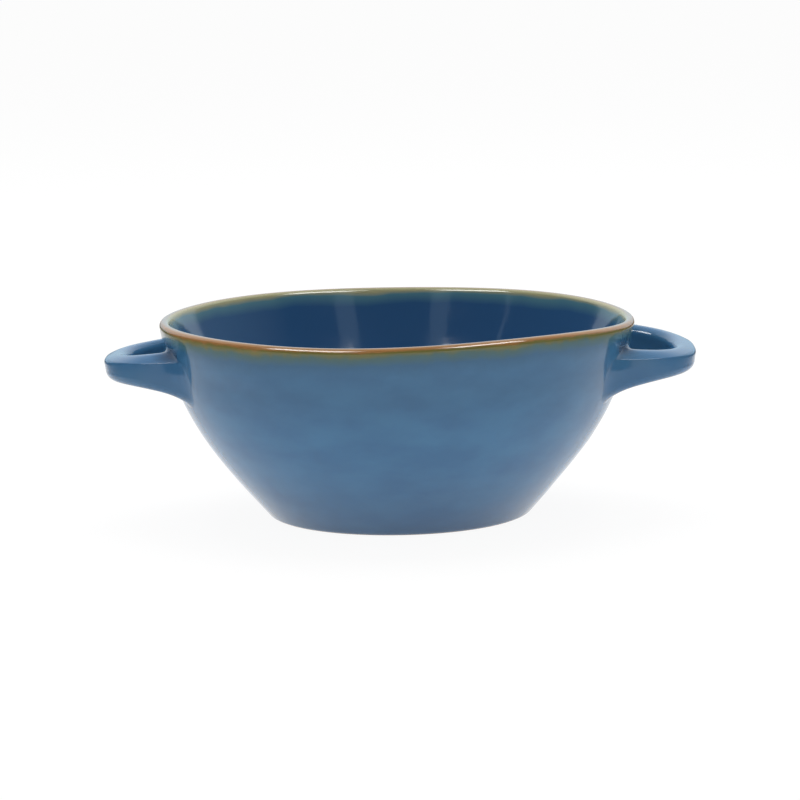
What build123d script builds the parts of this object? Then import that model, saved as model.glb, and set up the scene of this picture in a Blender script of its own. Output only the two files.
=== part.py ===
from build123d import *
import os
from math import cos, hypot, radians, sin

# Lug soup bowl of glazed stoneware: one bowl, two loop lugs and the slip that lutes their roots to the wall.
# Millimetres and degrees, +Z up. The origin is the middle of the plane that the foot rests on, the lugs lie
# along X, and the front is at -Y.

# Bowl
rim_radius = 70.0  # to the outermost point of the lip
height = 59.0
lip_thickness = 3.0  # the lip is fully rounded
rim_angle = 9.0  # lean of the wall under the lip, from the vertical
inner_rim_angle = 20.0  # lean of the inner wall there, so the wall thickens below the lip
wall_angle = 41.3  # lean of the wall just above the foot
upper_pull = 26.6  # how far the outer wall is drawn along its direction under the lip
lower_pull = 22.5  # and along its direction above the foot
floor_thickness = 4.5
floor_radius = 22.0  # flat part of the floor inside
inner_upper_pull = 16.0  # the same for the inner wall, under the lip
inner_floor_pull = 28.0  # and outwards along the floor

# Foot
foot_radius = 37.0  # flat of the foot, out to its rounded outer edge
foot_edge_radius = 3.0
recess_radius = 27.0
recess_depth = 1.5
recess_edge_radius = 0.6

# Lugs
lug_reach = 17.5  # tip of the strap beyond the rim
lug_drop = 10.85  # outer edge of the strap's top below the rim, before it is rounded
lug_span = 45.5  # between the middles of the two roots
lug_squareness = 2.58  # exponent of the superellipse that the strap follows, 2 is an ellipse
lug_width = 7.0  # strap across, in plan
lug_tip_height = 6.0  # outer face of the strap at its tip
lug_crown = 2.1  # how much higher the inner edge of the top is than the outer one, at the tip
lug_crown_rise = 6.5  # how much the inner edge climbs from the tip to the root
lug_under_drop = 5.4  # how much the underside sinks from the tip to the root
lug_crown_radius = 2.2
lug_shoulder_radius = 0.8
lug_under_radius = 3.0
root_depth = 12.0  # the strap is drawn this far inside the rim, then trimmed at the wall
root_flare_height = 3.0  # growth of the section, up and down, by the time it is trimmed away inside the wall
root_flare_width = 5.0
root_flare_power = 4  # the higher, the closer the flare keeps to the wall
left_lug_slant = 0.7  # hand-set: the front root sits this much higher than the strap's middle
right_lug_slant = -0.7
lug_stations = 17  # sections along a strap
slip_thickness = 2.5

# Levels and places worked out from the sizes above
lip_radius = lip_thickness / 2
lip_centre = Vector(rim_radius - lip_radius, height - lip_radius)
foot_edge_centre = Vector(foot_radius, foot_edge_radius)
floor_level = recess_depth + floor_thickness
lug_level = height - lug_drop
lug_under_level = lug_level - lug_tip_height
lug_origin = rim_radius - root_depth
lug_length = root_depth + lug_reach - lug_width / 2

os.makedirs("parts", exist_ok=True)


def along(angle):
    """Unit vector up a wall that leans outwards by angle, in the profile's plane."""
    return Vector(sin(radians(angle)), cos(radians(angle)))


def outward(angle):
    """Unit vector out of a wall that leans outwards by angle, in the profile's plane."""
    return Vector(cos(radians(angle)), -sin(radians(angle)))


def outer_wall(swell):
    """Control points of the outer wall, from the foot's edge to the lip, moved outwards by swell."""
    low = foot_edge_centre + outward(wall_angle) * (foot_edge_radius + swell)
    high = lip_centre + outward(rim_angle) * (lip_radius + swell)
    return low, low + along(wall_angle) * lower_pull, high - along(rim_angle) * upper_pull, high


def filled_bowl(swell):
    """Solid within the outer wall moved outwards by swell, up to the level of the rim."""
    low, low_pull, high_pull, high = outer_wall(swell)
    with BuildPart() as filled:
        with BuildSketch(Plane.XZ):
            with BuildLine():
                Line((0, low.Y), low)
                Bezier(low, low_pull, high_pull, high)
                Polyline(high, (high.X, height), (0, height), (0, low.Y))
            make_face()
        revolve(axis=Axis.Z)
    return filled.part


def lug_station(side, slant, angle):
    """Plane and corners of a strap's section at an angle of its superellipse, -90 front, 90 rear."""
    power = 2 / lug_squareness
    forward = cos(radians(angle)) ** power if abs(angle) < 90 else 0.0
    across = abs(sin(radians(angle))) ** power * (1 if angle > 0 else -1)
    x = lug_origin + lug_length * forward
    y = lug_span / 2 * across
    normal_x = forward ** (lug_squareness - 1) / lug_length
    normal_y = abs(across) ** (lug_squareness - 1) / (lug_span / 2) * (1 if angle > 0 else -1)
    size = hypot(normal_x, normal_y)
    normal = Vector(side * normal_x / size, normal_y / size, 0)
    plane = Plane(origin=(side * x, y, -slant * across), x_dir=normal, z_dir=(normal.Y, -normal.X, 0))
    flare = (1 - forward) ** root_flare_power
    half = (lug_width + root_flare_width * flare) / 2
    under = lug_under_level - lug_under_drop * (1 - forward) ** 2 - root_flare_height * flare
    outer_top = lug_level + root_flare_height * flare
    inner_top = lug_level + lug_crown + lug_crown_rise * (1 - forward)
    return plane, (half, under), (half, outer_top), (-half, inner_top), (-half, under)


def lug_blank(side, slant):
    """Strap of one lug, still running on into the wall at both roots."""
    under_radius = min(lug_under_radius, 0.45 * lug_width)
    crown_radius = min(lug_crown_radius, 0.45 * lug_width)
    with BuildPart() as blank:
        for station in range(lug_stations):
            angle = 180 * station / (lug_stations - 1) - 90
            plane, outer_low, outer_high, inner_high, inner_low = lug_station(side, slant, angle)
            with BuildSketch(plane) as section:
                with BuildLine():
                    Polyline(outer_low, outer_high, inner_high, inner_low, close=True)
                make_face()
                fillet(section.vertices().sort_by_distance(outer_low)[0], under_radius)
                fillet(section.vertices().sort_by_distance(outer_high)[0], lug_shoulder_radius)
                fillet(section.vertices().sort_by_distance(inner_high)[0], crown_radius)
                fillet(section.vertices().sort_by_distance(inner_low)[0], under_radius)
        loft()
    return blank.part


# Bowl body: foot with its turned recess, outer wall, lip, inner wall and floor, in one revolved profile
with BuildPart() as bowl_body:
    with BuildSketch(Plane.XZ):
        with BuildLine():
            low, low_pull, high_pull, high = outer_wall(0)
            lip_inside = lip_centre - outward(inner_rim_angle) * lip_radius
            Polyline((0, recess_depth), (recess_radius, recess_depth), (recess_radius, 0), (foot_radius, 0))
            CenterArc(foot_edge_centre, foot_edge_radius, -90, 90 - wall_angle)
            Bezier(low, low_pull, high_pull, high)
            CenterArc(lip_centre, lip_radius, -rim_angle, 90 + rim_angle)
            CenterArc(lip_centre, lip_radius, 90, 90 - inner_rim_angle)
            Bezier(
                lip_inside,
                lip_inside - along(inner_rim_angle) * inner_upper_pull,
                (floor_radius + inner_floor_pull, floor_level),
                (floor_radius, floor_level),
            )
            Polyline((floor_radius, floor_level), (0, floor_level), (0, recess_depth))
        make_face()
    revolve(axis=Axis.Z)
    recess_edges = bowl_body.edges().filter_by(GeomType.CIRCLE).filter_by(
        lambda edge: abs(edge.radius - recess_radius) < 0.01
    )
    fillet(recess_edges, min(recess_edge_radius, 0.4 * recess_depth))
bowl_body.part.label = "bowl_body"
export_step(bowl_body.part, "parts/bowl_body.step")

# Lugs and their slip joints: each strap stops where the slip begins, and the slip fills the room to the wall
slip_envelope = filled_bowl(slip_thickness)
clay_envelope = filled_bowl(0)

for side_name, side, slant in (("left", -1, left_lug_slant), ("right", 1, right_lug_slant)):
    blank = lug_blank(side, slant)

    with BuildPart() as lug_handle:
        add(blank)
        add(slip_envelope, mode=Mode.SUBTRACT)
    lug_handle.part.label = f"{side_name}_lug_handle"
    export_step(lug_handle.part, f"parts/{side_name}_lug_handle.step")

    for end_name, kept_half in (("front", Keep.TOP), ("rear", Keep.BOTTOM)):
        with BuildPart() as slip_joint:
            add(blank)
            add(slip_envelope, mode=Mode.INTERSECT)
            add(clay_envelope, mode=Mode.SUBTRACT)
            split(bisect_by=Plane.XZ, keep=kept_half)
        slip_joint.part.label = f"{side_name}_{end_name}_slip_joint"
        export_step(slip_joint.part, f"parts/{side_name}_{end_name}_slip_joint.step")
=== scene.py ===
import math

import bpy
import numpy as np
from bpy.props import FloatProperty, FloatVectorProperty, PointerProperty
from mathutils import Matrix, Vector


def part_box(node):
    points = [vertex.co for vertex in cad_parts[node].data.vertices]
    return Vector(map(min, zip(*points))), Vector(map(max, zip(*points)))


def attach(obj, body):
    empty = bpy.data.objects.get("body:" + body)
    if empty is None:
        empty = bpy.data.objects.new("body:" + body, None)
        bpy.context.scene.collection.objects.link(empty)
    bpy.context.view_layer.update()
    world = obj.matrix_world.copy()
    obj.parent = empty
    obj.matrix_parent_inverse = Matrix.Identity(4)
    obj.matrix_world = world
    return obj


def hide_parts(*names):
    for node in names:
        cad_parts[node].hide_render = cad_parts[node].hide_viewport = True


bl_info = {
    "name": "Lug soup bowl",
    "version": (1, 0, 0),
    "blender": (4, 5, 0),
    "location": "View3D > Sidebar > Lug Bowl",
    "description": "A glazed stoneware soup bowl with two loop lugs, its studio table and its camera",
    "category": "Object",
}

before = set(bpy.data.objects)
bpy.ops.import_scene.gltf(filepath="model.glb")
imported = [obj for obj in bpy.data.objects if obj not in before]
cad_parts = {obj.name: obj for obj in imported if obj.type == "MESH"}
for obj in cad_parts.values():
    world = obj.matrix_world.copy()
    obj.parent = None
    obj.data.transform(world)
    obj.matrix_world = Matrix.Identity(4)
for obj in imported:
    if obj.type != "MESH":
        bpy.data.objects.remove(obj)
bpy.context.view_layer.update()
BODY = "root"

MM = 0.001
BOWL_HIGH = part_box("bowl_body")[1]
LUG_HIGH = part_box("right_lug_handle")[1]
SIDES = {"left": -1, "right": 1}
ENDS = ("front", "rear")

# Bowl grid: points round the bowl, and points along each run of its profile
BOWL_COLUMNS = 384
RECESS_ROWS = 12
EDGE_ROWS = 6
FOOT_ROWS = 12
WALL_ROWS = 96
LIP_ROWS = 29
INSIDE_ROWS = 64
FLOOR_ROWS = 14

# Lug grid: points round the strap, along it, and along the fillet at each root, whose slip ends at JOINT_ROW
ARC_POINTS = 12
FLAT_POINTS = 6
STRAP_ROWS = 110
FILLET_ROWS = 29
JOINT_ROW = 15

# Finer samples, which lengths and crossings are read from
WALL_SAMPLES = 400
LOOP_SAMPLES = 4001
SEARCH_REACH = 25.0 * MM
SEARCH_STEPS = 500

# The rim is not level: waves round it as (waves in a turn, height in mm, degrees of a crest from +X), which
# begin at a share of the height
RIM_LEVEL = -0.26 * MM
RIM_WAVES = ((1, 0.40, 189.0), (2, 0.35, -67.0), (3, 0.30, -56.0), (4, 0.28, 38.0))
RIM_WAVES_FROM = 0.3

# Finger dents in the outer wall, wider than they are tall. They fade in above the foot and out below the lip,
# there as shares of the height.
DENT_SEED = 23
DENT_COUNT = 90
DENT_WIDTH = (5.0 * MM, 13.0 * MM)
DENT_HEIGHT = (2.5 * MM, 6.0 * MM)
DENTS_BEGIN = (2.0 * MM, 10.0 * MM)
DENTS_END = (0.86, 0.96)

# Straps: where the shoulder softens towards the tip, and how much of the slant the underside takes
TIP_SOFTENING = (0.6, 1.0)
SLANT_UNDERNEATH = 0.5

# Patterns in the glaze and the clay: noise scales are in cells a metre
PATCH_SCALE = 62.0
PATCH_SQUASH = (1.0, 1.0, 2.0)
PATCH_EDGES = (0.36, 0.66)
RIPPLE_SCALE = 130.0
RIPPLE_DEPTH = 0.07 * MM
PEEL_SCALE = 900.0
PEEL_DEPTH = 0.004 * MM
GRAIN_SCALE = 1500.0
GRAIN_EDGES = (0.3, 0.7)
GRAIN_SHADES = (0.85, 1.1)

# Bands along the lip, which loosen away from its crest: they drift, and run down outside
BAND_REACH = 12.0 * MM
BANDS_LOOSEN = (0.5 * MM, 3.0 * MM)
DRIFT_SCALE = 48.0
DRIFT_EDGES = (0.25, 0.75)
DRIFT_REACH = 0.9 * MM
RUN_SCALE = 330.0
RUN_EDGES = (0.2, 0.8)
RUN_REACH = 0.5 * MM

# Glaze of the wall: where it begins below the lip's crest, how far it pools, and painted light by height,
# lighter towards the foot where the white table lights it and darker high up
WALL_BEGINS = (5.0 * MM, 10.0 * MM)
WALL_POOLING = 0.75
WALL_PAINTED_LIGHT_HEIGHTS = (4.0 * MM, 44.0 * MM)
WALL_PAINTED_LIGHT = (1.50, 0.86)

# Painted shade in the corners above the straps, where the lip, the wall and the strap shade each other: how
# it fades from a corner, and the heights where it begins and ends
CORNER_FADE = (0.5 * MM, 6.0 * MM)
CORNER_SHADE_DEPTH = 0.85
CORNER_BEGINS = (48.9 * MM, 50.4 * MM)
CORNER_ENDS = (52.0 * MM, 54.5 * MM)

# Gloss: pooled glaze is rougher by one step, and so are the lugs
GLAZE_IOR = 1.5
ROUGHER = 0.04
CLAY_ROUGHNESS = 0.8

# Table: as the camera sees it, and as the glaze mirrors it, white beside the bowl and dim from there on
WHITE = (1.0, 1.0, 1.0, 1.0)
TABLE_HALF = 6.0
TABLE_GREY = (0.86, 0.86, 0.86, 1.0)
TABLE_WHITENESS = 0.93
TABLE_DIM = 0.12
TABLE_DIM_FROM = (0.18, 0.26)

# Room: ways to its white sweep and its pale side, their edges, and where it dims low down and overhead. The
# fill goes from front to back along the way to the sweep.
SWEEP_WAY = (0.0, 0.714, 0.70)
SWEEP_EDGES = (0.57, 0.60)
SIDE_WAY = (0.97, 0.24, 0.0)
SIDE_EDGES = (0.70, 0.95)
FILL_EDGES = (-0.9, 0.9)
ROOM_LOW = (0.05, 0.5)
ROOM_LOW_SHARE = 0.65
ROOM_HIGH = (0.6, 1.0)
ROOM_HIGH_SHARE = 0.45

# Lamps: azimuths are degrees from the front, to the right, and sizes are (width, height)
LAMP_DISTANCE = 1.2
SOFTBOXES = (("left_softbox", -53), ("right_softbox", 53))
SOFTBOX_ELEVATION = 52
SOFTBOX_SIZE = (0.70, 0.42)
STRIPS = (("left_strip", -26, 0.19), ("right_strip", 31.5, 0.20), ("far_strip", -67, 0.045))
STRIP_ELEVATION = 33
STRIP_HEIGHT = 0.5
TOP_AZIMUTH = 180
TOP_ELEVATION = 72
TOP_SIZE = (0.9, 0.9)

# Camera: a long lens a metre away. The image is square.
IMAGE_PIXELS = 800
FOCAL_PIXELS = 3372.0
SENSOR = 36.0
CAMERA_TARGET = Vector((0.0, 0.0, 28.0 * MM))
CAMERA_DISTANCE = 1.0
CAMERA_ELEVATION = math.radians(9.197)
CAMERA_ROLL = math.radians(1.093)
TARGET_PIXEL = (398.762, 418.101)


class BowlShape(bpy.types.PropertyGroup):
    """Sizes of the bowl's profile"""

    rim_radius: FloatProperty(
        name="Rim Radius", description="Out to the lip", default=BOWL_HIGH.x, unit="LENGTH")
    height: FloatProperty(
        name="Height", description="From the table to the lip", default=BOWL_HIGH.z, unit="LENGTH")
    lip_thickness: FloatProperty(
        name="Lip Thickness", description="The lip is fully round", default=3.0 * MM, unit="LENGTH")
    rim_lean: FloatProperty(
        name="Rim Lean", description="Wall's lean under the lip",
        default=math.radians(9.0), subtype="ANGLE")
    wall_lean: FloatProperty(
        name="Wall Lean", description="Wall's lean above the foot",
        default=math.radians(41.3), subtype="ANGLE")
    inner_lean: FloatProperty(
        name="Inner Lean", description="Lean of the inner wall under the lip",
        default=math.radians(20.0), subtype="ANGLE")
    upper_pull: FloatProperty(
        name="Upper Pull", description="How far the wall runs straight on under the lip",
        default=26.6 * MM, unit="LENGTH")
    lower_pull: FloatProperty(
        name="Lower Pull", description="How far the wall runs straight on above the foot",
        default=22.5 * MM, unit="LENGTH")
    inner_upper_pull: FloatProperty(
        name="Inner Upper Pull", description="The same inside, under the lip",
        default=16.0 * MM, unit="LENGTH")
    inner_floor_pull: FloatProperty(
        name="Inner Floor Pull", description="The same inside, along the floor",
        default=28.0 * MM, unit="LENGTH")
    floor_radius: FloatProperty(
        name="Floor Radius", description="Flat of the floor inside", default=22.0 * MM, unit="LENGTH")
    floor_thickness: FloatProperty(
        name="Floor Thickness", description="Clay over the recess", default=4.5 * MM, unit="LENGTH")
    foot_radius: FloatProperty(
        name="Foot Radius", description="Flat of the foot", default=37.0 * MM, unit="LENGTH")
    foot_edge_radius: FloatProperty(
        name="Foot Edge", description="Rounding of the foot's outer edge", default=3.0 * MM, unit="LENGTH")
    recess_radius: FloatProperty(
        name="Recess Radius", description="Recess turned under the foot", default=27.0 * MM, unit="LENGTH")
    recess_depth: FloatProperty(
        name="Recess Depth", description="Depth of that recess", default=1.5 * MM, unit="LENGTH")
    recess_edge_radius: FloatProperty(
        name="Recess Edge", description="Rounding of the recess", default=0.6 * MM, unit="LENGTH")
    rim_waviness: FloatProperty(
        name="Rim Waviness", description="1 is the hand-made rim, 0 a level one",
        default=1.0, subtype="FACTOR")
    dent_depth: FloatProperty(
        name="Dent Depth", description="Depth of a typical finger dent", default=0.14 * MM, unit="LENGTH")


class LugShape(bpy.types.PropertyGroup):
    """Sizes of the two loop lugs and of the slip at their roots"""

    reach: FloatProperty(
        name="Reach", description="From the bowl's axis to the strap's tip",
        default=LUG_HIGH.x, unit="LENGTH")
    span: FloatProperty(
        name="Span", description="Between the middles of the roots", default=45.5 * MM, unit="LENGTH")
    squareness: FloatProperty(
        name="Squareness", description="Exponent of the loop, 2 is an ellipse", default=2.58)
    strap_width: FloatProperty(
        name="Strap Width", description="Across the strap, in plan", default=7.0 * MM, unit="LENGTH")
    crown_level: FloatProperty(
        name="Crown Level", description="Top of the strap at its tip", default=49.5 * MM, unit="LENGTH")
    crown_rise: FloatProperty(
        name="Crown Rise", description="How fast the top climbs towards the root",
        default=3.0 * MM, unit="LENGTH")
    shoulder_level: FloatProperty(
        name="Shoulder Level", description="Outer edge of the sloping top",
        default=48.15 * MM, unit="LENGTH")
    shoulder_rise: FloatProperty(
        name="Shoulder Rise", description="How fast that edge climbs towards the root",
        default=1.0 * MM, unit="LENGTH")
    under_level: FloatProperty(
        name="Under Level", description="Underside of the strap at its tip",
        default=41.95 * MM, unit="LENGTH")
    under_drop: FloatProperty(
        name="Under Drop", description="How fast the underside sinks towards the root",
        default=5.2 * MM, unit="LENGTH")
    crown_radius: FloatProperty(
        name="Crown Radius", description="Rounding of the inner top edge", default=3.0 * MM, unit="LENGTH")
    shoulder_radius: FloatProperty(
        name="Shoulder Radius", description="Rounding of the outer top edge",
        default=0.15 * MM, unit="LENGTH")
    tip_radius: FloatProperty(
        name="Tip Radius", description="The same rounding at the tip", default=1.6 * MM, unit="LENGTH")
    top_crowning: FloatProperty(
        name="Top Crowning", description="How much the sloping top turns either way",
        default=math.radians(6.5), subtype="ANGLE")
    face_crowning: FloatProperty(
        name="Face Crowning", description="The same for the upright faces and the underside",
        default=math.radians(1), subtype="ANGLE")
    face_lean: FloatProperty(
        name="Face Lean", description="How far the outer face leans in at its foot",
        default=0.35 * MM, unit="LENGTH")
    under_radius: FloatProperty(
        name="Under Radius", description="Rounding of the lower edges", default=3.0 * MM, unit="LENGTH")
    origin: FloatProperty(
        name="Loop Origin", description="Middle of the loop's ellipse from the axis",
        default=58.0 * MM, unit="LENGTH")
    fillet_start: FloatProperty(
        name="Fillet Start", description="Where the smoothed root begins, from the axis",
        default=69.0 * MM, unit="LENGTH")
    fillet_side: FloatProperty(
        name="Fillet Side", description="How far the slip spreads outwards on the wall",
        default=8.5 * MM, unit="LENGTH")
    fillet_inner: FloatProperty(
        name="Fillet Inner", description="How far it spreads into the finger gap",
        default=3.5 * MM, unit="LENGTH")
    fillet_drop: FloatProperty(
        name="Fillet Drop", description="How far the slip runs down the wall",
        default=4.0 * MM, unit="LENGTH")
    fillet_top: FloatProperty(
        name="Fillet Top", description="How far it is smoothed up above the shoulder",
        default=0.4 * MM, unit="LENGTH")
    fillet_climb: FloatProperty(
        name="Fillet Climb", description="How far the crown's ridge runs up to the lip",
        default=8.5 * MM, unit="LENGTH")
    left_reach: FloatProperty(
        name="Left Reach", description="Hand-made difference of the left reach",
        default=-1.0 * MM, unit="LENGTH")
    right_reach: FloatProperty(
        name="Right Reach", description="Hand-made difference of the right reach",
        default=0.5 * MM, unit="LENGTH")
    left_slant: FloatProperty(
        name="Left Slant", description="How much higher the left lug's front root sits",
        default=0.7 * MM, unit="LENGTH")
    right_slant: FloatProperty(
        name="Right Slant", description="How much higher the right lug's front root sits",
        default=-1.0 * MM, unit="LENGTH")


class GlazeLook(bpy.types.PropertyGroup):
    """Colours of the glaze, of the lip where it runs thin, of the painted shade and of the bare clay"""

    outside_blue: FloatVectorProperty(
        name="Outside Blue", description="Glaze on the outer wall",
        default=(0.045, 0.154, 0.293), subtype="COLOR")
    lug_blue: FloatVectorProperty(
        name="Lug Blue", description="Glaze on the lugs", default=(0.040, 0.128, 0.242), subtype="COLOR")
    pooled_blue: FloatVectorProperty(
        name="Pooled Blue", description="Where the glaze lies thicker",
        default=(0.034, 0.120, 0.247), subtype="COLOR")
    # Painted shade: this dark blue is laid in the corners above the straps in place of their shade
    corner_shade_blue: FloatVectorProperty(
        name="Corner Blue", description="Pooled in the corners above the straps",
        default=(0.010, 0.042, 0.105), subtype="COLOR")
    corner_place: FloatVectorProperty(
        name="Corner Place", description="One of those corners, the others mirror it",
        default=(65.5 * MM, 23.5 * MM, 51.5 * MM), subtype="XYZ", unit="LENGTH")
    # The glaze's colour inside, darkened with painted shade of the bowl's hollow
    inside_shaded_blue: FloatVectorProperty(
        name="Inside Blue", description="Glaze inside", default=(0.014, 0.068, 0.17), subtype="COLOR")
    inside_teal: FloatVectorProperty(
        name="Inside Teal", description="Under the lip, inside",
        default=(0.060, 0.160, 0.20), subtype="COLOR")
    outside_teal: FloatVectorProperty(
        name="Outside Teal", description="Under the lip, outside",
        default=(0.054, 0.112, 0.105), subtype="COLOR")
    shade_blue: FloatVectorProperty(
        name="Shade Blue", description="Just below that teal",
        default=(0.031, 0.106, 0.20), subtype="COLOR")
    gold: FloatVectorProperty(
        name="Gold", description="Inner edge of the lip", default=(0.29, 0.28, 0.155), subtype="COLOR")
    olive: FloatVectorProperty(
        name="Olive", description="Thin glaze by the lip", default=(0.135, 0.125, 0.034), subtype="COLOR")
    rust: FloatVectorProperty(
        name="Rust", description="Thinnest glaze, on the lip",
        default=(0.28, 0.135, 0.045), subtype="COLOR")
    crest: FloatVectorProperty(
        name="Crest", description="Top of the lip", default=(0.24, 0.185, 0.14), subtype="COLOR")
    clay: FloatVectorProperty(
        name="Clay", description="Bare foot ring", default=(0.50, 0.38, 0.27), subtype="COLOR")
    gloss_roughness: FloatProperty(
        name="Gloss Roughness", description="Roughness of the fired glaze", default=0.07, subtype="FACTOR")


class StageLook(bpy.types.PropertyGroup):
    """Light of the studio"""

    softbox_power: FloatProperty(
        name="Softbox Power", description="Watts of each softbox, seen only as a highlight",
        default=15.0, unit="POWER")
    top_power: FloatProperty(
        name="Top Light Power", description="Watts of the large lamp overhead", default=15.4, unit="POWER")
    strip_power: FloatProperty(
        name="Strip Power", description="Watts of the dim strips in front, for each metre of width",
        default=0.95, unit="POWER")
    fill_front: FloatProperty(
        name="Fill Front", description="Soft light from the front", default=0.50)
    fill_back: FloatProperty(
        name="Fill Back", description="Soft light from behind and above", default=0.80)
    room_front: FloatProperty(
        name="Room in Front", description="Brightness of the room behind the camera", default=0.12)
    room_back: FloatProperty(
        name="Room Behind", description="Brightness of the white sweep", default=1.35)
    room_side: FloatProperty(
        name="Room at the Side", description="Brightness added on the right of the room", default=0.45)
    cool_white: FloatVectorProperty(
        name="Cool White", description="Daylight in the strips, low in the mirrored room and at its side",
        default=(0.70, 0.89, 1.0), subtype="COLOR", min=0, max=1)


class LugBowlSettings(bpy.types.PropertyGroup):
    """All sizes and colours"""

    bowl: PointerProperty(type=BowlShape, name="Bowl", description="Sizes of the bowl")
    lugs: PointerProperty(type=LugShape, name="Lugs", description="Sizes of the lugs")
    glaze: PointerProperty(type=GlazeLook, name="Glaze", description="Colours of the glaze")
    stage: PointerProperty(type=StageLook, name="Stage", description="Light of the studio")


# Curves and meshes

def up_wall(lean):
    """Unit vector up a wall that leans outwards, as (radius, height)."""
    return np.array([math.sin(lean), math.cos(lean)])


def out_of_wall(lean):
    """Unit vector out of a wall that leans outwards, as (radius, height)."""
    return np.array([math.cos(lean), -math.sin(lean)])


def cubic(controls, t):
    """Cubic Bezier: four control points, or arrays of them, weighted by the Bernstein polynomials of t."""
    t = np.asarray(t)
    weights = np.stack([(1 - t) ** 3, 3 * t * (1 - t) ** 2, 3 * t * t * (1 - t), t ** 3], axis=-1)
    return np.tensordot(weights, np.stack(controls), axes=1)


def arc(centre, radius, start, end, count):
    """Points of a circle's arc from one angle to another, in degrees."""
    angle = np.radians(np.linspace(start, end, count))
    return np.asarray(centre) + radius * np.stack([np.cos(angle), np.sin(angle)], axis=-1)


def smooth_between(low, high, value):
    """0 below low, 1 above high, and 3tt - 2ttt between."""
    t = np.clip((value - low) / (high - low), 0.0, 1.0)
    return t * t * (3 - 2 * t)


def unit(vectors):
    """Vectors scaled to length 1."""
    return vectors / np.linalg.norm(vectors, axis=-1, keepdims=True)


def closed_skin(name, rings, start_pole, end_pole, normals=None):
    """Mesh of rings (rows, columns, 3) joined by quads and closed by a fan to a pole at each end.

    A face turns outwards where the cross product of the way round a ring and the way to the next ring does.
    """
    rows, columns = rings.shape[:2]
    ring = np.arange(columns)
    following = np.roll(ring, -1)
    base = (np.arange(rows - 1) * columns)[:, None]
    after = base + columns
    quads = np.stack([base + ring, base + following, after + following, after + ring], axis=-1)
    first = rows * columns
    last = first + 1
    top = (rows - 1) * columns
    start_fan = np.stack([np.full(columns, first), following, ring], axis=-1)
    end_fan = np.stack([np.full(columns, last), top + ring, top + following], axis=-1)
    points = np.concatenate([rings.reshape(-1, 3), [start_pole], [end_pole]])
    mesh = bpy.data.meshes.new(name)
    mesh.from_pydata(points, [], quads.reshape(-1, 4).tolist() + start_fan.tolist() + end_fan.tolist())
    mesh.polygons.foreach_set("use_smooth", np.ones(len(mesh.polygons), dtype=bool))
    mesh.update()
    if normals is not None:
        start_out = unit(np.asarray(start_pole) - rings[1].mean(axis=0))
        end_out = unit(np.asarray(end_pole) - rings[-2].mean(axis=0))
        at_points = np.concatenate([normals.reshape(-1, 3), [start_out], [end_out]])
        mesh.normals_split_custom_set_from_vertices(at_points)
    return mesh


def add_piece(mesh, material, node):
    """Puts a mesh on the root body in place of a CAD node."""
    mesh.materials.append(material)
    piece = bpy.data.objects.new(mesh.name, mesh)
    bpy.context.scene.collection.objects.link(piece)
    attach(piece, BODY)
    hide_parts(node)


# Bowl

def outer_wall(shape):
    """Control points of the outer wall as (radius, height), from the foot's edge up to the lip."""
    lip_radius = shape.lip_thickness / 2
    lip_centre = np.array([shape.rim_radius - lip_radius, shape.height - lip_radius])
    foot_centre = np.array([shape.foot_radius, shape.foot_edge_radius])
    low = foot_centre + out_of_wall(shape.wall_lean) * shape.foot_edge_radius
    high = lip_centre + out_of_wall(shape.rim_lean) * lip_radius
    low_pull = low + up_wall(shape.wall_lean) * shape.lower_pull
    high_pull = high - up_wall(shape.rim_lean) * shape.upper_pull
    return low, low_pull, high_pull, high


def bowl_profile(shape):
    """Half profile of the bowl from the middle of its underside, round the lip, to the middle of its floor.

    Straight runs, arcs and two cubics. Returns the (radius, height) points, how far each lies along the
    profile below the lip's crest (outside is positive, inside negative), and which are on the bare foot ring.
    """
    edge = min(shape.recess_edge_radius, 0.4 * shape.recess_depth)
    lean = math.degrees(shape.rim_lean)
    inner_lean = math.degrees(shape.inner_lean)
    foot_lean = math.degrees(shape.wall_lean)
    lip_radius = shape.lip_thickness / 2
    lip_centre = np.array([shape.rim_radius - lip_radius, shape.height - lip_radius])
    lip_inside = lip_centre - out_of_wall(shape.inner_lean) * lip_radius
    floor_level = shape.recess_depth + shape.floor_thickness
    inside = (
        lip_inside,
        lip_inside - up_wall(shape.inner_lean) * shape.inner_upper_pull,
        (shape.floor_radius + shape.inner_floor_pull, floor_level),
        (shape.floor_radius, floor_level),
    )
    flat_from = shape.recess_radius + edge
    runs = (
        np.linspace((0.0, shape.recess_depth), (shape.recess_radius - edge, shape.recess_depth), RECESS_ROWS),
        arc((shape.recess_radius - edge, shape.recess_depth - edge), edge, 90, 0, EDGE_ROWS),
        arc((flat_from, edge), edge, 180, 270, EDGE_ROWS),
        np.linspace((flat_from, 0.0), (shape.foot_radius, 0.0), FOOT_ROWS),
        arc((shape.foot_radius, shape.foot_edge_radius), shape.foot_edge_radius, -90, -foot_lean, FOOT_ROWS),
        cubic(outer_wall(shape), np.linspace(0, 1, WALL_ROWS)),
        arc(lip_centre, lip_radius, -lean, 180 - inner_lean, LIP_ROWS),
        cubic(inside, np.linspace(0, 1, INSIDE_ROWS)),
        np.linspace((shape.floor_radius, floor_level), (0.0, floor_level), FLOOR_ROWS),
    )
    points = np.concatenate([run[:-1] for run in runs] + [runs[-1][-1:]])
    steps = np.linalg.norm(np.diff(points, axis=0), axis=1)
    travelled = np.concatenate([[0.0], np.cumsum(steps)])
    below_crest = travelled[np.argmax(points[:, 1])] - travelled
    bare_edge = 0.5 * edge
    bare = (points[:, 1] < bare_edge) & (points[:, 0] > shape.recess_radius)
    return points, below_crest, bare.astype(float)


def rim_lift(shape, azimuth, height):
    """How far the uneven rim lifts a point: cosines round the bowl that fade out towards the foot."""
    waves = [h * MM * np.cos(n * (azimuth - math.radians(crest))) for n, h, crest in RIM_WAVES]
    fade = smooth_between(RIM_WAVES_FROM * shape.height, shape.height, height)
    return shape.rim_waviness * fade * (RIM_LEVEL + sum(waves))


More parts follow.
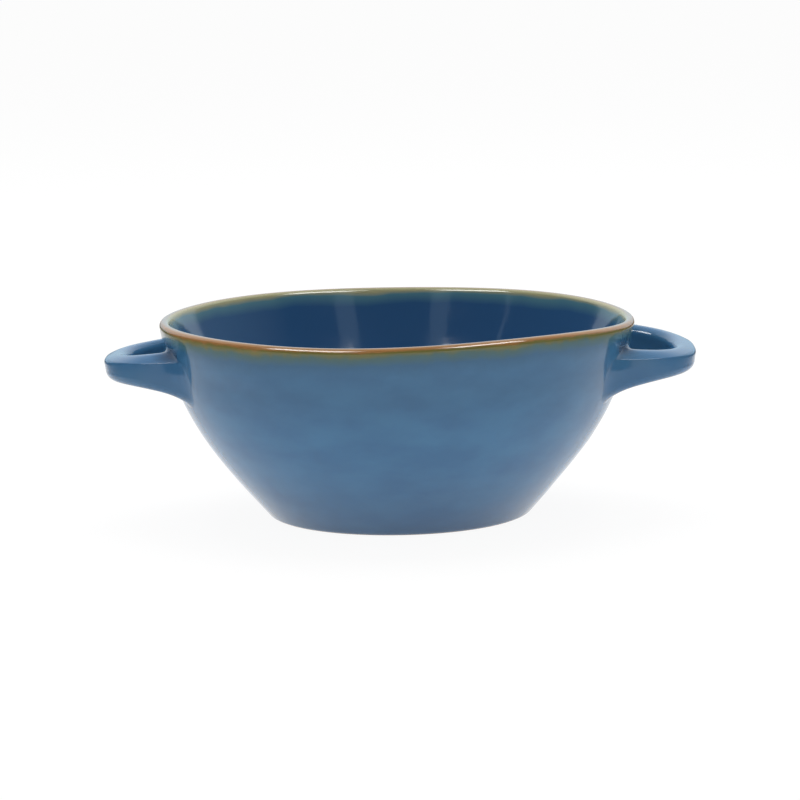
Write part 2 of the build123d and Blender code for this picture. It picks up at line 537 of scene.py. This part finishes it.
def finger_dents(shape, azimuth, height):
    """How far the dents move a point out: a sum of Gaussian bumps that fades out at the foot and the lip."""
    typical_radius = 0.8 * shape.rim_radius
    dice = np.random.default_rng(DENT_SEED)
    middle_azimuth = dice.uniform(-math.pi, math.pi, DENT_COUNT)
    middle_height = dice.uniform(0.0, shape.height, DENT_COUNT)
    half_width = dice.uniform(*DENT_WIDTH, DENT_COUNT) / typical_radius
    half_height = dice.uniform(*DENT_HEIGHT, DENT_COUNT)
    depth = dice.normal(0.0, shape.dent_depth, DENT_COUNT)
    turn = np.mod(azimuth[..., None] - middle_azimuth + math.pi, 2 * math.pi) - math.pi
    climb = height[..., None] - middle_height
    bumps = (depth * np.exp(-(turn / half_width) ** 2 - (climb / half_height) ** 2)).sum(axis=-1)
    begun = smooth_between(*DENTS_BEGIN, height)
    ended = smooth_between(*DENTS_END, height / shape.height)
    return bumps * begun * (1 - ended)


def wall_radius(shape, azimuth, height):
    """Radius of the finished outer wall at a height: interpolated on the cubic, plus the dents."""
    wall = cubic(outer_wall(shape), np.linspace(0, 1, WALL_SAMPLES))
    level = height - rim_lift(shape, azimuth, height)
    return np.interp(level, wall[:, 1], wall[:, 0]) + finger_dents(shape, azimuth, level)


def bowl_mesh(shape):
    """The profile turned about the axis, (r cos a, r sin a, z), with dents added to r and rim waves to z."""
    profile, below_crest, bare = bowl_profile(shape)
    azimuth = np.linspace(-math.pi, math.pi, BOWL_COLUMNS, endpoint=False)[None, :]
    around, radius = np.broadcast_arrays(azimuth, profile[:, :1])
    height = np.broadcast_to(profile[:, 1:], radius.shape)
    outside = (below_crest > 0)[:, None]
    radius = radius + np.where(outside, finger_dents(shape, around, height), 0.0)
    lifted = height + rim_lift(shape, around, height)
    grid = np.stack([radius * np.cos(around), radius * np.sin(around), lifted], axis=-1)
    mesh = closed_skin("bowl", grid[1:-1], grid[0, 0], grid[-1, 0])
    for name, values in (("below_crest", below_crest), ("bare_clay", bare)):
        attribute = mesh.attributes.new(name, "FLOAT", "POINT")
        per_point = np.repeat(values[1:-1], BOWL_COLUMNS)
        attribute.data.foreach_set("value", np.concatenate([per_point, values[:1], values[-1:]]))
    return mesh


# Lugs

def loop_frames(lugs, side_name):
    """Stations along a strap, evenly spaced from its front fillet to its rear one.

    The middle line is a superellipse in plan, |x/a|^n + |y/b|^n = 1. Returns its points at table level, the
    level outward normals, how far forward each station is (1 at the tip), and how much the slant
    raises its top.
    """
    side = SIDES[side_name]
    n = lugs.squareness
    tip = lugs.reach + getattr(lugs, side_name + "_reach") - lugs.strap_width / 2
    length = tip - lugs.origin
    start = (lugs.fillet_start - lugs.origin) / length
    limit = math.acos(start ** (n / 2))
    angle = np.linspace(-limit, limit, LOOP_SAMPLES)
    forward = np.cos(angle) ** (2 / n)
    across = np.sign(angle) * np.abs(np.sin(angle)) ** (2 / n)
    travelled = np.hypot(np.diff(length * forward), np.diff(lugs.span / 2 * across)).cumsum()
    travelled = np.concatenate([[0.0], travelled])
    even = np.linspace(0, travelled[-1], STRAP_ROWS)
    forward = np.interp(even, travelled, forward)
    across = np.interp(even, travelled, across)
    flat = np.zeros_like(forward)
    middle = np.stack([side * (lugs.origin + length * forward), lugs.span / 2 * across, flat], axis=-1)
    normal_x = side * forward ** (n - 1) / length
    normal_y = np.sign(across) * np.abs(across) ** (n - 1) / (lugs.span / 2)
    normal = unit(np.stack([normal_x, normal_y, flat], axis=-1))
    raised = -getattr(lugs, side_name + "_slant") * across
    return middle, normal, forward, raised


def corner(centre, radius, start, end):
    """Arcs round many centres (stations, 2), whose normals turn from start to end, in radians."""
    share = np.linspace(0, 1, ARC_POINTS)
    angle = np.asarray(start)[..., None] * (1 - share) + np.asarray(end)[..., None] * share
    circle = np.stack([np.cos(angle), np.sin(angle)], axis=-1)
    return centre[:, None, :] + np.asarray(radius)[..., None, None] * circle


def between(first, second, crowning):
    """Points between the ends of two arcs, on a parabola that bulges out at the angle crowning."""
    share = np.linspace(0, 1, FLAT_POINTS + 2)[1:-1, None]
    start, end = first[:, -1:], second[:, :1]
    way = end - start
    out = np.stack([way[..., 1], -way[..., 0]], axis=-1)
    return start + way * share + out * math.tan(crowning) * share * (1 - share)


def strap_section(lugs, forward):
    """Section of the strap at each station, as (out, height): a rounded polygon, counterclockwise.

    The outer face is nearly upright. The top slopes up from its shoulder to the round crown beside the finger
    gap, bulging slightly, and the inner face is upright. Towards the root the crown climbs in a straight line
    and the underside sinks as a square. Towards the tip the shoulder grows rounder.
    """
    half = np.full_like(forward, lugs.strap_width / 2)
    crown = lugs.crown_level + lugs.crown_rise * (1 - forward)
    under = lugs.under_level - lugs.under_drop * (1 - forward) ** 2 + lugs.under_radius
    shoulder = lugs.shoulder_level + lugs.shoulder_rise * (1 - forward)
    width, drop = 2 * half - lugs.crown_radius, crown - shoulder - lugs.crown_radius
    slope = np.arctan2(drop, width) + np.arcsin(lugs.crown_radius / np.hypot(width, drop))
    top_way = math.pi / 2 - slope
    crown_out = lugs.crown_radius - half
    crown_height = crown - lugs.crown_radius
    offset = crown_height * np.cos(slope) + crown_out * np.sin(slope) + lugs.crown_radius
    softened = smooth_between(*TIP_SOFTENING, forward)
    shoulder_radius = lugs.shoulder_radius * (1 - softened) + lugs.tip_radius * softened
    shoulder_out = half - shoulder_radius
    shoulder_height = (offset - shoulder_radius - shoulder_out * np.sin(slope)) / np.cos(slope)
    shoulder_centre = np.stack([shoulder_out, shoulder_height], axis=-1)
    crown_centre = np.stack([crown_out, crown_height], axis=-1)
    inner_centre = np.stack([lugs.under_radius - half, under], axis=-1)
    outer_centre = np.stack([half - lugs.under_radius - lugs.face_lean, under], axis=-1)
    outwards = np.zeros_like(forward)
    inwards = outwards + math.pi
    downwards = outwards - math.pi / 2
    arcs = (
        corner(shoulder_centre, shoulder_radius, outwards, top_way - lugs.top_crowning),
        corner(crown_centre, lugs.crown_radius, top_way + lugs.top_crowning, inwards),
        corner(inner_centre, lugs.under_radius, -inwards, downwards),
        corner(outer_centre, lugs.under_radius, downwards, outwards),
    )
    crownings = (lugs.top_crowning, lugs.face_crowning, lugs.face_crowning, lugs.face_crowning)
    runs = [
        np.concatenate([one, between(one, arcs[(i + 1) % 4], crowning)], axis=1)
        for i, (one, crowning) in enumerate(zip(arcs, crownings))
    ]
    return np.concatenate(runs, axis=1)


def strap_rings(lugs, side_name):
    """Rings of a strap: its section stood on each station of the loop."""
    middle, normal, forward, raised = loop_frames(lugs, side_name)
    section = strap_section(lugs, forward)
    if SIDES[side_name] > 0:
        section = section[:, ::-1]
    rings = middle[:, None, :] + normal[:, None, :] * section[..., :1]
    height = section[..., 1]
    low = height.min(axis=1, keepdims=True)
    high = height.max(axis=1, keepdims=True)
    share = SLANT_UNDERNEATH + (1 - SLANT_UNDERNEATH) * (height - low) / (high - low)
    rings[..., 2] = height + raised[:, None] * share
    return rings


def distance_to_wall(bowl, ring, direction):
    """How far each point of a ring goes along a direction to meet the wall, by steps and interpolation."""
    steps = np.linspace(0, SEARCH_REACH, SEARCH_STEPS)
    path = ring[:, None, :] + direction[:, None, :] * steps[:, None]
    azimuth = np.arctan2(path[..., 1], path[..., 0])
    gap = np.hypot(path[..., 0], path[..., 1]) - wall_radius(bowl, azimuth, path[..., 2])
    beyond = np.argmax(gap < 0, axis=1)
    each = np.arange(len(ring))
    before = gap[each, beyond - 1]
    share = before / (before - gap[each, beyond])
    return steps[beyond - 1] + share * steps[1]


def root_fillet(bowl, lugs, ring, direction):
    """Rings of a smoothed root, from the strap's last ring to its toe on the wall.

    Each line is a cubic that leaves the strap along direction and lands on the wall, running out along it:
    the toe is the ring's shadow on the wall, moved away from the shadow's middle by the spread of the slip.
    """
    sideways_share = -0.2
    bent = unit(direction * np.array([1.0, sideways_share, 1.0]))
    distance = distance_to_wall(bowl, ring, bent)[:, None]
    shadow = ring + bent * distance
    azimuth = np.arctan2(shadow[:, 1], shadow[:, 0])
    radius = np.hypot(shadow[:, 0], shadow[:, 1])
    away = np.stack([radius * (azimuth - azimuth.mean()), shadow[:, 2] - shadow[:, 2].mean()], axis=-1)
    beside = np.abs(shadow[:, 1])
    inward = np.clip((beside.mean() - beside) / (lugs.strap_width / 2), 0, 1)
    side = np.where(inward > 0, lugs.fillet_inner, lugs.fillet_side)
    climb = lugs.fillet_top + (lugs.fillet_climb - lugs.fillet_top) * inward ** 2
    away = unit(away) * np.stack([side, np.where(away[:, 1] > 0, climb, lugs.fillet_drop)], axis=-1)
    toe_azimuth = azimuth + away[:, 0] / radius
    toe_height = shadow[:, 2] + away[:, 1]
    toe_sunk = 0.08 * MM
    toe_radius = wall_radius(bowl, toe_azimuth, toe_height) - toe_sunk
    toe = np.stack([toe_radius * np.cos(toe_azimuth), toe_radius * np.sin(toe_azimuth), toe_height], axis=-1)
    round_arm = 0.6
    leave = ring + direction * distance * round_arm
    land = toe - (toe - shadow) * round_arm
    return cubic((ring, leave, land, toe), np.linspace(0, 1, FILLET_ROWS))


def lug_rings(bowl, lugs, side_name):
    """All rings of a lug from the front toe to the rear one, with the normals of the whole surface."""
    rings = strap_rings(lugs, side_name)
    front = root_fillet(bowl, lugs, rings[0], unit(rings[0] - rings[1]))
    rear = root_fillet(bowl, lugs, rings[-1], unit(rings[-1] - rings[-2]))
    rings = np.concatenate([front[:0:-1], rings, rear[1:]])
    along = np.gradient(rings, axis=0)
    around = np.roll(rings, -1, axis=1) - np.roll(rings, 1, axis=1)
    return rings, unit(np.cross(around, along))


def sunk_pole(ring):
    """Middle of a toe's ring, pushed into the wall so that the toe is closed out of sight."""
    depth = 1.5 * MM
    middle = ring.mean(axis=0)
    share = 1 - depth / np.hypot(middle[0], middle[1])
    return middle * np.array([share, share, 1.0])


def handle_mesh(bowl, lugs, side_name):
    """The strap and the upper part of both its fillets, closed by a fan at each end."""
    rings, normals = lug_rings(bowl, lugs, side_name)
    kept = slice(JOINT_ROW, len(rings) - JOINT_ROW)
    rings, normals = rings[kept], normals[kept]
    return closed_skin(side_name + "_lug", rings, rings[0].mean(axis=0), rings[-1].mean(axis=0), normals)


def joint_mesh(bowl, lugs, side_name, end_name):
    """The slip at one root: the fillet's toe, up to the ring where the strap's own clay begins."""
    rings, normals = lug_rings(bowl, lugs, side_name)
    name = f"{side_name}_{end_name}_slip"
    if end_name == "front":
        rings, normals = rings[:JOINT_ROW + 1], normals[:JOINT_ROW + 1]
        return closed_skin(name, rings, sunk_pole(rings[0]), rings[-1].mean(axis=0), normals)
    rings, normals = rings[-JOINT_ROW - 1:], normals[-JOINT_ROW - 1:]
    return closed_skin(name, rings, rings[0].mean(axis=0), sunk_pole(rings[-1]), normals)


# Materials

def add_node(tree, kind, inputs=None, **settings):
    """Adds a shader node, sets its properties, and links or sets its sockets."""
    node = tree.nodes.new(kind)
    for name, value in settings.items():
        setattr(node, name, value)
    for name, value in (inputs or {}).items():
        if isinstance(value, bpy.types.NodeSocket):
            tree.links.new(value, node.inputs[name])
        else:
            node.inputs[name].default_value = value
    return node


def blank_material(name):
    """A material, its empty node tree and its output."""
    material = bpy.data.materials.new(name)
    material.use_nodes = True
    tree = material.node_tree
    tree.nodes.clear()
    return material, tree, add_node(tree, "ShaderNodeOutputMaterial")


def noise(tree, place, scale, detail):
    """Value of a noise at a place, around one half."""
    sockets = {"Vector": place, "Scale": scale, "Detail": detail}
    return add_node(tree, "ShaderNodeTexNoise", sockets).outputs["Fac"]


def calculate(tree, operation, first, second=0.0):
    """Result of an operation on one or two numbers or sockets."""
    return add_node(tree, "ShaderNodeMath", {0: first, 1: second}, operation=operation).outputs[0]


def product(tree, first, *others):
    """Product of two or more numbers or sockets."""
    for factor in others:
        first = calculate(tree, "MULTIPLY", first, factor)
    return first


def measure(tree, operation, first, second):
    """Distance or dot product of two vectors."""
    return add_node(tree, "ShaderNodeVectorMath", {0: first, 1: second}, operation=operation).outputs["Value"]


def coordinate(tree, place, axis):
    """One coordinate of a place."""
    return add_node(tree, "ShaderNodeSeparateXYZ", {0: place}).outputs[axis]


def spread(tree, value, low, high, to_low, to_high, interpolation="LINEAR"):
    """Value carried from one range to another, and held at its ends."""
    sockets = {"Value": value, "From Min": low, "From Max": high, "To Min": to_low, "To Max": to_high}
    return add_node(tree, "ShaderNodeMapRange", sockets, interpolation_type=interpolation).outputs["Result"]


def blend_colours(tree, factor, first, second, blend_type="MIX"):
    """Colour between two colours. Mix takes them at sockets 6 and 7 and gives their blend at output 2."""
    sockets = {0: factor, 6: first, 7: second}
    return add_node(tree, "ShaderNodeMix", sockets, data_type="RGBA", blend_type=blend_type).outputs[2]


def opaque(colour):
    """Colour with full alpha."""
    return (*colour, 1.0)


def cloudy_patches(tree):
    """Place on the piece, and where its glaze lies thicker: soft patches, wider than they are tall."""
    place = add_node(tree, "ShaderNodeTexCoord").outputs["Object"]
    flat = add_node(tree, "ShaderNodeMapping", {"Vector": place, "Scale": PATCH_SQUASH}).outputs["Vector"]
    return place, spread(tree, noise(tree, flat, PATCH_SCALE, 3.0), *PATCH_EDGES, 0.0, 1.0)


def paint_corner_shade(tree, look, place, colour):
    """The glaze's colour, with painted shade in the four corners above the straps.

    The painted shade fades with the distance from the nearest corner, below the strap's top and under the
    lip.
    """
    mirrored = add_node(tree, "ShaderNodeVectorMath", {0: place}, operation="ABSOLUTE").outputs["Vector"]
    away = measure(tree, "DISTANCE", mirrored, look.corner_place)
    height = coordinate(tree, place, "Z")
    near_corner = spread(tree, away, *CORNER_FADE, CORNER_SHADE_DEPTH, 0.0)
    above_strap = spread(tree, height, *CORNER_BEGINS, 0.0, 1.0)
    below_lip = spread(tree, height, *CORNER_ENDS, 1.0, 0.0)
    # Painted shade, strongest at a corner, gone below the strap's top and under the lip
    pooling_and_shade = product(tree, near_corner, above_strap, below_lip)
    return blend_colours(tree, pooling_and_shade, colour, opaque(look.corner_shade_blue))


def glaze_surface(tree, place, colour, roughness):
    """Glossy glaze: long soft ripples and a fine orange peel in its skin."""
    ripples = noise(tree, place, RIPPLE_SCALE, 2.0)
    peel = noise(tree, place, PEEL_SCALE, 1.0)
    soft = add_node(tree, "ShaderNodeBump", {"Strength": 1.0, "Distance": RIPPLE_DEPTH, "Height": ripples})
    fine = add_node(tree, "ShaderNodeBump", {
        "Strength": 1.0, "Distance": PEEL_DEPTH, "Height": peel, "Normal": soft.outputs["Normal"]})
    return add_node(tree, "ShaderNodeBsdfPrincipled", {
        "Base Color": colour, "Roughness": roughness, "IOR": GLAZE_IOR, "Normal": fine.outputs["Normal"]})


def lug_glaze(look):
    """Blue glaze of the lugs and of the slip at their roots, with painted shade in the corners above the
    straps.
    """
    material, tree, output = blank_material("lug_blue_glaze")
    place, patches = cloudy_patches(tree)
    blue = blend_colours(tree, patches, opaque(look.lug_blue), opaque(look.pooled_blue))
    colour = paint_corner_shade(tree, look, place, blue)
    smoothest = look.gloss_roughness + ROUGHER
    roughness = spread(tree, patches, 0.0, 1.0, smoothest, smoothest + ROUGHER)
    surface = glaze_surface(tree, place, colour, roughness)
    tree.links.new(surface.outputs["BSDF"], output.inputs["Surface"])
    return material


def lip_bands(tree, look, place, below):
    """Colours along the lip by the distance below its crest, from the inside over the crest to the wall.

    Away from the crest the bands drift up and down, and outside they also end in fine runs.
    """
    drift = spread(tree, noise(tree, place, DRIFT_SCALE, 2.0), *DRIFT_EDGES, -DRIFT_REACH, DRIFT_REACH)
    runs = spread(tree, noise(tree, place, RUN_SCALE, 2.0), *RUN_EDGES, -RUN_REACH, RUN_REACH)
    away_from_crest = spread(tree, calculate(tree, "ABSOLUTE", below), *BANDS_LOOSEN, 0.0, 1.0)
    down_outside = spread(tree, below, *BANDS_LOOSEN, 0.0, 1.0)
    drifted = calculate(tree, "ADD", below, product(tree, drift, away_from_crest))
    wandered = calculate(tree, "ADD", drifted, product(tree, runs, down_outside))
    position = spread(tree, wandered, -BAND_REACH, BAND_REACH, 0.0, 1.0)
    ramp = add_node(tree, "ShaderNodeValToRGB", {"Fac": position})
    stops = (
        (-6.2, look.inside_shaded_blue), (-2.9, look.inside_teal),
        (-1.8, look.gold), (-1.0, look.gold), (-0.4, look.crest), (0.35, look.crest),
        (0.9, look.rust), (1.6, look.rust), (2.2, look.olive), (2.5, look.olive),
        (3.7, look.outside_teal), (6.2, look.shade_blue), (10.0, look.outside_blue),
    )
    elements = ramp.color_ramp.elements
    elements.remove(elements[1])
    elements[0].position = 0.0
    elements[0].color = opaque(look.inside_shaded_blue)
    for distance, colour in stops:
        stop = elements.new((distance * MM + BAND_REACH) / (2 * BAND_REACH))
        stop.color = opaque(colour)
    return ramp.outputs["Color"]


def speckled_clay(tree, look, place):
    """Colour of the bare clay, with its grain."""
    grain = spread(tree, noise(tree, place, GRAIN_SCALE, 2.0), *GRAIN_EDGES, *GRAIN_SHADES)
    return blend_colours(tree, 1.0, opaque(look.clay), grain, "MULTIPLY")


def bowl_glaze(look):
    """Blue glaze that breaks to olive and rust along the lip and stops short of the bare foot ring, with
    painted light by height on the wall and painted shade above the straps.
    """
    material, tree, output = blank_material("lip_break_glaze")
    place, patches = cloudy_patches(tree)
    below = add_node(tree, "ShaderNodeAttribute", attribute_name="below_crest").outputs["Fac"]
    bare = add_node(tree, "ShaderNodeAttribute", attribute_name="bare_clay").outputs["Fac"]
    on_wall = spread(tree, below, *WALL_BEGINS, 0.0, 1.0)
    pooling_and_shade = product(tree, patches, on_wall, WALL_POOLING)
    glazed = blend_colours(tree, pooling_and_shade, lip_bands(tree, look, place, below), opaque(look.pooled_blue))
    # Painted light: the wall's colour is lightened towards the foot, where the white table lights it, and
    # darkened high up
    painted_light = spread(tree, coordinate(tree, place, "Z"), *WALL_PAINTED_LIGHT_HEIGHTS, *WALL_PAINTED_LIGHT)
    painted_lit = blend_colours(tree, 1.0, glazed, painted_light, "MULTIPLY")
    glazed = paint_corner_shade(tree, look, place, blend_colours(tree, on_wall, glazed, painted_lit))
    colour = blend_colours(tree, bare, glazed, speckled_clay(tree, look, place))
    glossy = spread(tree, patches, 0.0, 1.0, look.gloss_roughness, look.gloss_roughness + ROUGHER)
    matt = spread(tree, bare, 0.0, 1.0, 0.0, CLAY_ROUGHNESS)
    surface = glaze_surface(tree, place, colour, calculate(tree, "MAXIMUM", glossy, matt))
    tree.links.new(surface.outputs["BSDF"], output.inputs["Surface"])
    return material


def table_material():
    """White table that the camera and the glaze see as white, with the bowl's shadow kept faint on it."""
    material, tree, output = blank_material("white_table")
    rays = add_node(tree, "ShaderNodeLightPath").outputs
    place = add_node(tree, "ShaderNodeTexCoord").outputs["Object"]
    sideways = calculate(tree, "ABSOLUTE", coordinate(tree, place, "X"))
    mirrored = spread(tree, sideways, *TABLE_DIM_FROM, 1.0, TABLE_DIM)
    seen = calculate(tree, "MAXIMUM", rays["Is Camera Ray"], rays["Is Transmission Ray"])
    strength = calculate(tree, "MAXIMUM", mirrored, seen)
    share = calculate(tree, "MAXIMUM", product(tree, seen, TABLE_WHITENESS), rays["Is Glossy Ray"])
    matt = add_node(tree, "ShaderNodeBsdfDiffuse", {"Color": TABLE_GREY}).outputs["BSDF"]
    white = add_node(tree, "ShaderNodeEmission", {"Color": WHITE, "Strength": strength}).outputs["Emission"]
    mixed = add_node(tree, "ShaderNodeMixShader", {0: share, 1: matt, 2: white}).outputs["Shader"]
    tree.links.new(mixed, output.inputs["Surface"])
    return material


# Stage

def add_table():
    """A large flat sheet at the level that the foot rests on."""
    half = TABLE_HALF
    corners = [(-half, -half, 0.0), (half, -half, 0.0), (half, half, 0.0), (-half, half, 0.0)]
    mesh = bpy.data.meshes.new("table")
    mesh.from_pydata(corners, [], [(0, 1, 2, 3)])
    mesh.materials.append(table_material())
    table = bpy.data.objects.new("table", mesh)
    bpy.context.scene.collection.objects.link(table)


def add_softbox(name, azimuth, elevation, size, power):
    """Rectangular lamp that faces the bowl."""
    turn = math.radians(azimuth)
    climb = math.radians(elevation)
    way = Vector((math.sin(turn) * math.cos(climb), -math.cos(turn) * math.cos(climb), math.sin(climb)))
    lamp = bpy.data.lights.new(name, "AREA")
    lamp.shape = "RECTANGLE"
    lamp.size, lamp.size_y = size
    lamp.energy = power
    softbox = bpy.data.objects.new(name, lamp)
    place = CAMERA_TARGET + way * LAMP_DISTANCE
    softbox.matrix_world = Matrix.Translation(place) @ way.to_track_quat("Z", "Y").to_matrix().to_4x4()
    bpy.context.scene.collection.objects.link(softbox)
    return softbox


def set_room(look):
    """Room light by the kind of ray.

    Matt surfaces get an even fill, and the camera sees white. The glaze mirrors a white sweep behind, a dim
    room in front and a paler side on the right, all dimmed low down and overhead.
    """
    world = bpy.data.worlds.new("room")
    world.use_nodes = True
    tree = world.node_tree
    tree.nodes.clear()
    rays = add_node(tree, "ShaderNodeLightPath").outputs
    way = add_node(tree, "ShaderNodeTexCoord").outputs["Generated"]
    height = coordinate(tree, way, "Z")
    depth = measure(tree, "DOT_PRODUCT", way, SWEEP_WAY)
    sweep = spread(tree, depth, *SWEEP_EDGES, look.room_front, look.room_back, "SMOOTHSTEP")
    beside = spread(tree, measure(tree, "DOT_PRODUCT", way, SIDE_WAY), *SIDE_EDGES, 0.0, 1.0)
    room = calculate(tree, "ADD", sweep, product(tree, beside, look.room_side))
    from_low = spread(tree, height, *ROOM_LOW, ROOM_LOW_SHARE, 1.0)
    to_high = spread(tree, height, *ROOM_HIGH, 1.0, ROOM_HIGH_SHARE)
    mirrored = product(tree, room, from_low, to_high, rays["Is Glossy Ray"])
    fill = spread(tree, depth, *FILL_EDGES, look.fill_front, look.fill_back)
    filled = product(tree, rays["Is Diffuse Ray"], fill)
    lit = calculate(tree, "MAXIMUM", mirrored, filled)
    strength = calculate(tree, "MAXIMUM", lit, rays["Is Camera Ray"])
    cool = calculate(tree, "MAXIMUM", beside, spread(tree, height, *ROOM_LOW, 1.0, 0.0))
    cool = product(tree, rays["Is Glossy Ray"], cool)
    colour = blend_colours(tree, cool, WHITE, opaque(look.cool_white))
    background = add_node(tree, "ShaderNodeBackground", {"Color": colour, "Strength": strength})
    output = add_node(tree, "ShaderNodeOutputWorld")
    tree.links.new(background.outputs["Background"], output.inputs["Surface"])
    bpy.context.scene.world = world


def add_camera():
    """Camera on the photograph's sight line: the target's pixel gives its aim, and the roll its tilt."""
    level = Vector((1.0, 0.0, 0.0))
    sight = Vector((0.0, math.cos(CAMERA_ELEVATION), -math.sin(CAMERA_ELEVATION)))
    rise = level.cross(sight)
    right = level * math.cos(CAMERA_ROLL) - rise * math.sin(CAMERA_ROLL)
    up = level * math.sin(CAMERA_ROLL) + rise * math.cos(CAMERA_ROLL)
    across = (IMAGE_PIXELS / 2 - TARGET_PIXEL[0]) / FOCAL_PIXELS
    above = (TARGET_PIXEL[1] - IMAGE_PIXELS / 2) / FOCAL_PIXELS
    aim = (sight + right * across + up * above).normalized()
    right = (right - aim * right.dot(aim)).normalized()
    up = right.cross(aim)
    lens = bpy.data.cameras.new("camera")
    lens.sensor_width = SENSOR
    lens.lens = SENSOR * FOCAL_PIXELS / IMAGE_PIXELS
    camera = bpy.data.objects.new("camera", lens)
    turn = Matrix((right, up, -aim)).transposed().to_4x4()
    camera.matrix_world = Matrix.Translation(CAMERA_TARGET - sight * CAMERA_DISTANCE) @ turn
    bpy.context.scene.collection.objects.link(camera)
    bpy.context.scene.camera = camera


# Operators and panel

class LUGBOWL_OT_stage(bpy.types.Operator):
    """Set the table, the room's light, the lamps and the camera"""

    bl_idname = "lug_bowl.stage"
    bl_label = "Set Stage"

    def execute(self, context):
        look = context.scene.lug_bowl.stage
        context.scene.view_settings.view_transform = "Standard"
        add_table()
        set_room(look)
        for name, azimuth in SOFTBOXES:
            softbox = add_softbox(name, azimuth, SOFTBOX_ELEVATION, SOFTBOX_SIZE, look.softbox_power)
            softbox.visible_diffuse = False
        for name, azimuth, width in STRIPS:
            size = (width, STRIP_HEIGHT)
            strip = add_softbox(name, azimuth, STRIP_ELEVATION, size, look.strip_power * width)
            strip.visible_diffuse = False
            strip.data.color = look.cool_white
        top = add_softbox("top_light", TOP_AZIMUTH, TOP_ELEVATION, TOP_SIZE, look.top_power)
        top.visible_glossy = False
        add_camera()
        return {"FINISHED"}


class LUGBOWL_OT_bowl(bpy.types.Operator):
    """Make the bowl"""

    bl_idname = "lug_bowl.bowl"
    bl_label = "Make Bowl"

    def execute(self, context):
        settings = context.scene.lug_bowl
        add_piece(bowl_mesh(settings.bowl), bowl_glaze(settings.glaze), "bowl_body")
        return {"FINISHED"}


class LUGBOWL_OT_lug_handles(bpy.types.Operator):
    """Make the two loop lugs"""

    bl_idname = "lug_bowl.lug_handles"
    bl_label = "Make Lug Handles"

    def execute(self, context):
        settings = context.scene.lug_bowl
        glaze = lug_glaze(settings.glaze)
        for side_name in SIDES:
            add_piece(handle_mesh(settings.bowl, settings.lugs, side_name), glaze, side_name + "_lug_handle")
        return {"FINISHED"}


class LUGBOWL_OT_slip_joints(bpy.types.Operator):
    """Make the smoothed slip at the four roots"""

    bl_idname = "lug_bowl.slip_joints"
    bl_label = "Make Slip Joints"

    def execute(self, context):
        settings = context.scene.lug_bowl
        glaze = bpy.data.materials["lug_blue_glaze"]
        for side_name in SIDES:
            for end_name in ENDS:
                mesh = joint_mesh(settings.bowl, settings.lugs, side_name, end_name)
                add_piece(mesh, glaze, f"{side_name}_{end_name}_slip_joint")
        return {"FINISHED"}


class LUGBOWL_PT_panel(bpy.types.Panel):
    """Sizes, colours and operators of the lug bowl"""

    bl_idname = "LUGBOWL_PT_panel"
    bl_label = "Lug Soup Bowl"
    bl_space_type = "VIEW_3D"
    bl_region_type = "UI"
    bl_category = "Lug Bowl"

    def draw(self, context):
        settings = context.scene.lug_bowl
        for group in (settings.bowl, settings.lugs, settings.glaze, settings.stage):
            box = self.layout.box()
            for name in group.bl_rna.properties.keys():
                if name not in ("rna_type", "name"):
                    box.prop(group, name)
        for operator in OPERATORS:
            self.layout.operator(operator.bl_idname)


OPERATORS = (LUGBOWL_OT_stage, LUGBOWL_OT_bowl, LUGBOWL_OT_lug_handles, LUGBOWL_OT_slip_joints)
CLASSES = (BowlShape, LugShape, GlazeLook, StageLook, LugBowlSettings, *OPERATORS, LUGBOWL_PT_panel)


def register():
    """Registers the classes and puts the settings on the scene."""
    for cls in CLASSES:
        bpy.utils.register_class(cls)
    bpy.types.Scene.lug_bowl = PointerProperty(type=LugBowlSettings)


def unregister():
    """Takes the settings off the scene and unregisters the classes."""
    del bpy.types.Scene.lug_bowl
    for cls in reversed(CLASSES):
        bpy.utils.unregister_class(cls)


def main():
    """Sets the stage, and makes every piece."""
    register()
    bpy.ops.lug_bowl.stage()
    bpy.ops.lug_bowl.bowl()
    bpy.ops.lug_bowl.lug_handles()
    bpy.ops.lug_bowl.slip_joints()


if __name__ == "__main__":
    main()
